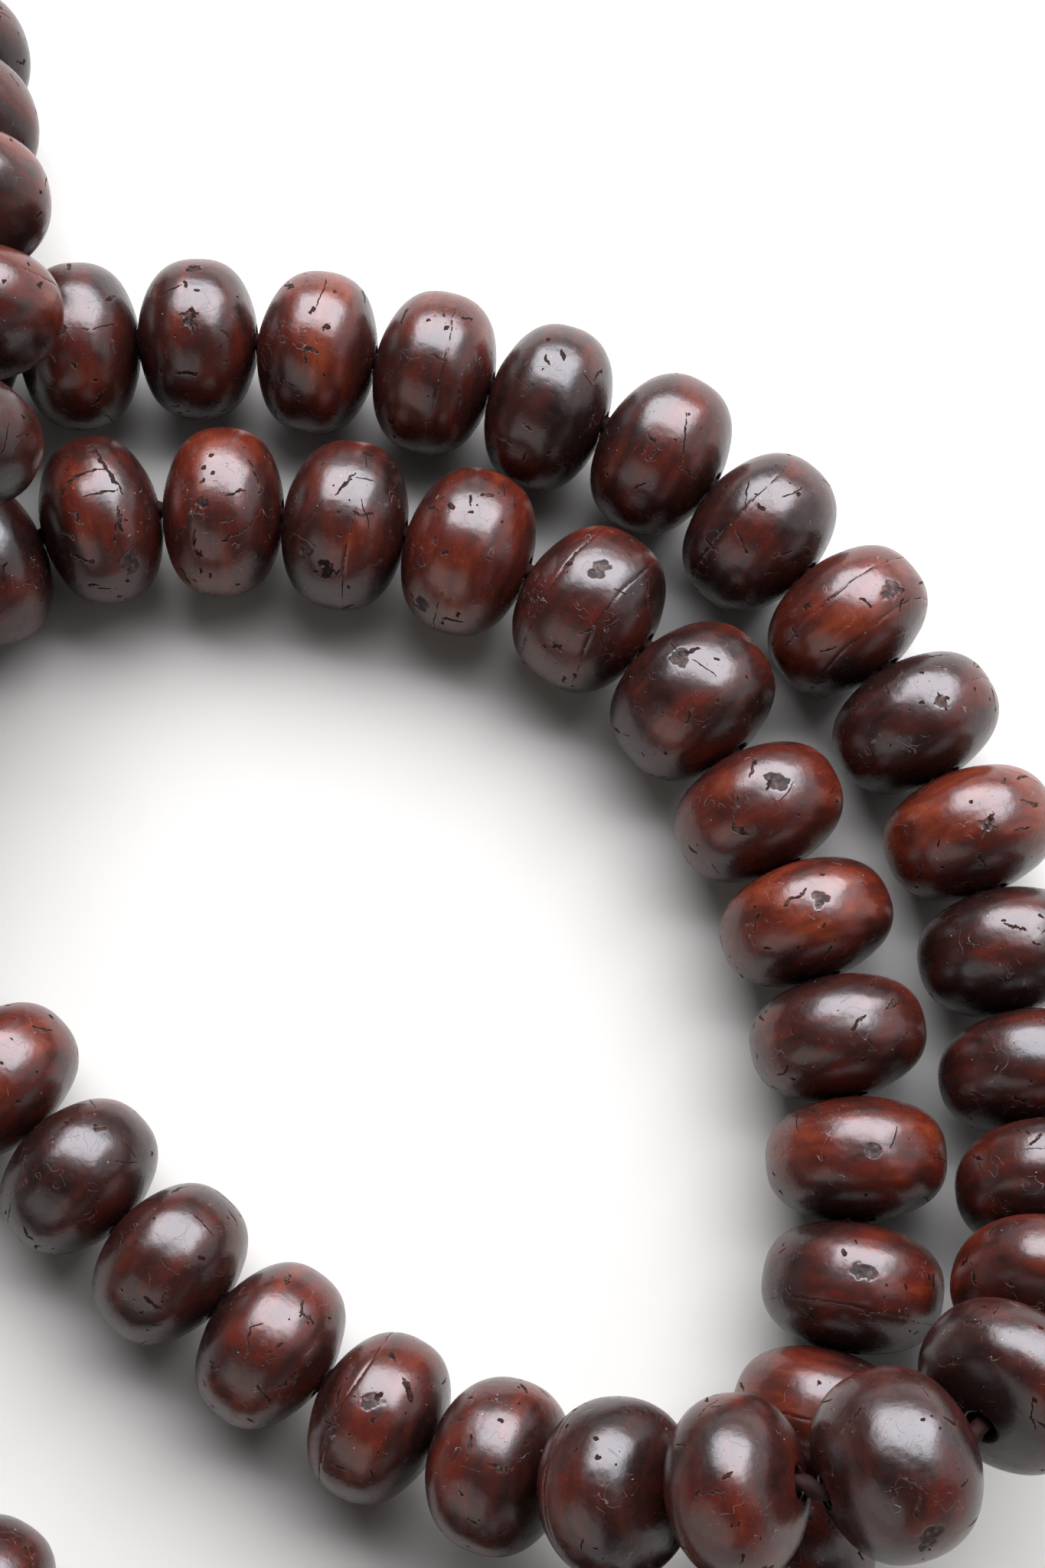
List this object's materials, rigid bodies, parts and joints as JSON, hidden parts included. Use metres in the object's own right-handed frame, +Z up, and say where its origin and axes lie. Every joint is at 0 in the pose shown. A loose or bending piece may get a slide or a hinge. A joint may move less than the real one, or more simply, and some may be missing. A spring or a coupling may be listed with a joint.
{
  "type": "mala prayer beads",
  "caption": "Loop of polished dark red-brown seed beads on one cord, closed by a three-hole guru bead, a small tower bead and a knot, laid in loose crossing curves",
  "frame": {"origin": "on the table, under the middle of the string's bounding box", "axes": "+Z up; +X to the right along the length of the laid string; +Y away from the viewer"},
  "size_m": [0.1981, 0.1699, 0.0244],
  "materials": {
    "seed": "dark red-brown seed, hand-polished to a satin gloss",
    "guru": "turned dark red-brown wood, polished",
    "cord": "twisted waxed cord, dark red"
  },
  "bodies": {
    "string": {"cord": "cord", "guru_bead": "guru", "closing_knot": "cord", "beads_002_to_007": "seed", "beads_033_to_035": "seed", "beads_041_to_053": "seed", "beads_054_to_066": "seed", "beads_067_to_079": "seed", "beads_082_to_087": "seed", "beads_102_to_107": "seed"},
    "bead_001": {"bead_001": "seed"},
    "bead_008": {"bead_008": "seed"},
    "bead_009": {"bead_009": "seed"},
    "bead_010": {"bead_010": "seed"},
    "bead_011": {"bead_011": "seed"},
    "bead_012": {"bead_012": "seed"},
    "bead_013": {"bead_013": "seed"},
    "bead_014": {"bead_014": "seed"},
    "bead_015": {"bead_015": "seed"},
    "bead_016": {"bead_016": "seed"},
    "bead_017": {"bead_017": "seed"},
    "bead_018": {"bead_018": "seed"},
    "bead_019": {"bead_019": "seed"},
    "bead_020": {"bead_020": "seed"},
    "bead_021": {"bead_021": "seed"},
    "bead_022": {"bead_022": "seed"},
    "bead_023": {"bead_023": "seed"},
    "bead_024": {"bead_024": "seed"},
    "bead_025": {"bead_025": "seed"},
    "bead_026": {"bead_026": "seed"},
    "bead_027": {"bead_027": "seed"},
    "bead_028": {"bead_028": "seed"},
    "bead_029": {"bead_029": "seed"},
    "bead_030": {"bead_030": "seed"},
    "bead_031": {"bead_031": "seed"},
    "bead_032": {"bead_032": "seed"},
    "bead_036": {"bead_036": "seed"},
    "bead_037": {"bead_037": "seed"},
    "bead_038": {"bead_038": "seed"},
    "bead_039": {"bead_039": "seed"},
    "bead_040": {"bead_040": "seed"},
    "bead_080": {"bead_080": "seed"},
    "bead_081": {"bead_081": "seed"},
    "bead_088": {"bead_088": "seed"},
    "bead_089": {"bead_089": "seed"},
    "bead_090": {"bead_090": "seed"},
    "bead_091": {"bead_091": "seed"},
    "bead_092": {"bead_092": "seed"},
    "bead_093": {"bead_093": "seed"},
    "bead_094": {"bead_094": "seed"},
    "bead_095": {"bead_095": "seed"},
    "bead_096": {"bead_096": "seed"},
    "bead_097": {"bead_097": "seed"},
    "bead_098": {"bead_098": "seed"},
    "bead_099": {"bead_099": "seed"},
    "bead_100": {"bead_100": "seed"},
    "bead_101": {"bead_101": "seed"},
    "bead_108": {"bead_108": "seed"},
    "tower_bead": {"tower_bead": "guru"}
  },
  "joints": [
    {"name": "bead_001_slide", "type": "slide", "parent": "string", "child": "bead_001", "axis": [-0.7996, -0.5997, 0.03], "range_m": [0, 0.0074]},
    {"name": "bead_008_spin", "type": "hinge", "parent": "string", "child": "bead_008", "pos_m": [0.02762, 0.01797, 0.006], "axis": [0.9991, 0.0424, 0], "continuous": true},
    {"name": "bead_009_spin", "type": "hinge", "parent": "string", "child": "bead_009", "pos_m": [0.03606, 0.01851, 0.006], "axis": [1, -0.0083, 0], "continuous": true},
    {"name": "bead_010_spin", "type": "hinge", "parent": "string", "child": "bead_010", "pos_m": [0.04448, 0.0175, 0.006], "axis": [0.9876, -0.1572, 0], "continuous": true},
    {"name": "bead_011_spin", "type": "hinge", "parent": "string", "child": "bead_011", "pos_m": [0.0528, 0.01592, 0.006], "axis": [0.9696, -0.2446, 0], "continuous": true},
    {"name": "bead_012_spin", "type": "hinge", "parent": "string", "child": "bead_012", "pos_m": [0.06087, 0.01336, 0.006], "axis": [0.9389, -0.3442, 0], "continuous": true},
    {"name": "bead_013_spin", "type": "hinge", "parent": "string", "child": "bead_013", "pos_m": [0.06875, 0.00983, 0.006], "axis": [0.8382, -0.5454, 0], "continuous": true},
    {"name": "bead_014_spin", "type": "hinge", "parent": "string", "child": "bead_014", "pos_m": [0.07548, 0.00402, 0.006], "axis": [0.7184, -0.6956, 0], "continuous": true},
    {"name": "bead_015_spin", "type": "hinge", "parent": "string", "child": "bead_015", "pos_m": [0.08147, -0.00246, 0.006], "axis": [0.601, -0.7993, 0], "continuous": true},
    {"name": "bead_016_spin", "type": "hinge", "parent": "string", "child": "bead_016", "pos_m": [0.0859, -0.00982, 0.006], "axis": [0.4593, -0.8883, 0], "continuous": true},
    {"name": "bead_017_spin", "type": "hinge", "parent": "string", "child": "bead_017", "pos_m": [0.08935, -0.01756, 0.006], "axis": [0.3265, -0.9452, 0], "continuous": true},
    {"name": "bead_018_spin", "type": "hinge", "parent": "string", "child": "bead_018", "pos_m": [0.09137, -0.02579, 0.006], "axis": [0.1804, -0.9836, 0.0039], "continuous": true},
    {"name": "bead_019_spin", "type": "hinge", "parent": "string", "child": "bead_019", "pos_m": [0.09245, -0.03399, 0.00624], "axis": [0.0988, -0.9895, 0.1056], "continuous": true},
    {"name": "bead_020_spin", "type": "hinge", "parent": "string", "child": "bead_020", "pos_m": [0.09301, -0.04177, 0.00792], "axis": [-0.0134, -0.9475, 0.3196], "continuous": true},
    {"name": "bead_021_spin", "type": "hinge", "parent": "string", "child": "bead_021", "pos_m": [0.09204, -0.04889, 0.01124], "axis": [-0.2542, -0.8331, 0.4912], "continuous": true},
    {"name": "bead_022_spin", "type": "hinge", "parent": "string", "child": "bead_022", "pos_m": [0.08896, -0.055, 0.01547], "axis": [-0.5871, -0.6701, 0.4542], "continuous": true},
    {"name": "bead_023_spin", "type": "hinge", "parent": "string", "child": "bead_023", "pos_m": [0.08149, -0.05982, 0.01824], "axis": [-0.9327, -0.3384, 0.1249], "continuous": true},
    {"name": "bead_024_spin", "type": "hinge", "parent": "string", "child": "bead_024", "pos_m": [0.07203, -0.06103, 0.0172], "axis": [-0.9151, -0.0469, -0.4005], "continuous": true},
    {"name": "bead_025_spin", "type": "hinge", "parent": "string", "child": "bead_025", "pos_m": [0.06488, -0.06099, 0.01233], "axis": [-0.8293, 0.0838, -0.5524], "continuous": true},
    {"name": "bead_026_spin", "type": "hinge", "parent": "string", "child": "bead_026", "pos_m": [0.05757, -0.05952, 0.00803], "axis": [-0.8887, 0.2648, -0.3742], "continuous": true},
    {"name": "bead_027_spin", "type": "hinge", "parent": "string", "child": "bead_027", "pos_m": [0.04982, -0.0564, 0.00618], "axis": [-0.8798, 0.4642, -0.1029], "continuous": true},
    {"name": "bead_028_spin", "type": "hinge", "parent": "string", "child": "bead_028", "pos_m": [0.0427, -0.05179, 0.006], "axis": [-0.8096, 0.587, -0.0006], "continuous": true},
    {"name": "bead_029_spin", "type": "hinge", "parent": "string", "child": "bead_029", "pos_m": [0.03605, -0.04655, 0.006], "axis": [-0.7615, 0.6481, 0], "continuous": true},
    {"name": "bead_030_spin", "type": "hinge", "parent": "string", "child": "bead_030", "pos_m": [0.02982, -0.04082, 0.006], "axis": [-0.7072, 0.707, 0.0054], "continuous": true},
    {"name": "bead_031_spin", "type": "hinge", "parent": "string", "child": "bead_031", "pos_m": [0.02407, -0.03461, 0.00622], "axis": [-0.6861, 0.7216, 0.0922], "continuous": true},
    {"name": "bead_032_spin", "type": "hinge", "parent": "string", "child": "bead_032", "pos_m": [0.01788, -0.02903, 0.00783], "axis": [-0.6989, 0.6616, 0.2716], "continuous": true},
    {"name": "bead_036_spin", "type": "hinge", "parent": "string", "child": "bead_036", "pos_m": [0.01777, -0.00101, 0.01844], "axis": [0.4963, 0.8661, 0.0591], "continuous": true},
    {"name": "bead_037_spin", "type": "hinge", "parent": "string", "child": "bead_037", "pos_m": [0.02167, 0.00652, 0.01841], "axis": [0.3362, 0.9417, -0.012], "continuous": true},
    {"name": "bead_038_spin", "type": "hinge", "parent": "string", "child": "bead_038", "pos_m": [0.02255, 0.01506, 0.01845], "axis": [-0.0552, 0.9977, -0.0391], "continuous": true},
    {"name": "bead_039_spin", "type": "hinge", "parent": "string", "child": "bead_039", "pos_m": [0.02123, 0.02342, 0.01753], "axis": [-0.2028, 0.9446, -0.258], "continuous": true},
    {"name": "bead_040_spin", "type": "hinge", "parent": "string", "child": "bead_040", "pos_m": [0.01952, 0.03086, 0.01372], "axis": [-0.2043, 0.8399, -0.5029], "continuous": true},
    {"name": "bead_080_spin", "type": "hinge", "parent": "string", "child": "bead_080", "pos_m": [0.01668, -0.06452, 0.006], "axis": [0.9456, -0.3254, 0], "continuous": true},
    {"name": "bead_081_spin", "type": "hinge", "parent": "string", "child": "bead_081", "pos_m": [0.02441, -0.06802, 0.006], "axis": [0.8697, -0.4936, 0], "continuous": true},
    {"name": "bead_088_spin", "type": "hinge", "parent": "string", "child": "bead_088", "pos_m": [0.07566, -0.06427, 0.006], "axis": [0.4011, 0.9161, 0], "continuous": true},
    {"name": "bead_089_spin", "type": "hinge", "parent": "string", "child": "bead_089", "pos_m": [0.0783, -0.05622, 0.006], "axis": [0.2737, 0.9618, 0], "continuous": true},
    {"name": "bead_090_spin", "type": "hinge", "parent": "string", "child": "bead_090", "pos_m": [0.08049, -0.04804, 0.006], "axis": [0.163, 0.9866, 0], "continuous": true},
    {"name": "bead_091_spin", "type": "hinge", "parent": "string", "child": "bead_091", "pos_m": [0.081, -0.03971, 0.006], "axis": [-0.0287, 0.9996, 0], "continuous": true},
    {"name": "bead_092_spin", "type": "hinge", "parent": "string", "child": "bead_092", "pos_m": [0.08002, -0.03159, 0.006], "axis": [-0.1859, 0.9826, 0], "continuous": true},
    {"name": "bead_093_spin", "type": "hinge", "parent": "string", "child": "bead_093", "pos_m": [0.07808, -0.02375, 0.006], "axis": [-0.3014, 0.9535, 0], "continuous": true},
    {"name": "bead_094_spin", "type": "hinge", "parent": "string", "child": "bead_094", "pos_m": [0.07505, -0.0161, 0.006], "axis": [-0.426, 0.9047, 0], "continuous": true},
    {"name": "bead_095_spin", "type": "hinge", "parent": "string", "child": "bead_095", "pos_m": [0.07066, -0.00821, 0.006], "axis": [-0.6068, 0.7948, 0], "continuous": true},
    {"name": "bead_096_spin", "type": "hinge", "parent": "string", "child": "bead_096", "pos_m": [0.06363, -0.00159, 0.006], "axis": [-0.8189, 0.5739, 0], "continuous": true},
    {"name": "bead_097_spin", "type": "hinge", "parent": "string", "child": "bead_097", "pos_m": [0.05525, 0.00259, 0.006], "axis": [-0.9452, 0.3264, 0], "continuous": true},
    {"name": "bead_098_spin", "type": "hinge", "parent": "string", "child": "bead_098", "pos_m": [0.04664, 0.00456, 0.006], "axis": [-0.9857, 0.1684, 0], "continuous": true},
    {"name": "bead_099_spin", "type": "hinge", "parent": "string", "child": "bead_099", "pos_m": [0.03812, 0.00551, 0.006], "axis": [-0.9995, 0.0305, 0], "continuous": true},
    {"name": "bead_100_spin", "type": "hinge", "parent": "string", "child": "bead_100", "pos_m": [0.02963, 0.00492, 0.006], "axis": [-0.9737, -0.2278, 0], "continuous": true},
    {"name": "bead_101_spin", "type": "hinge", "parent": "string", "child": "bead_101", "pos_m": [0.0217, 0.00187, 0.006], "axis": [-0.9141, -0.4056, 0], "continuous": true},
    {"name": "bead_108_slide", "type": "slide", "parent": "string", "child": "bead_108", "axis": [-0.7996, 0.5997, 0.03], "range_m": [0, 0.0046]},
    {"name": "tower_bead_spin", "type": "hinge", "parent": "string", "child": "tower_bead", "pos_m": [-0.05274, 0.0045, 0.00475], "axis": [-0.9744, 0, -0.225], "continuous": true}
  ]
}
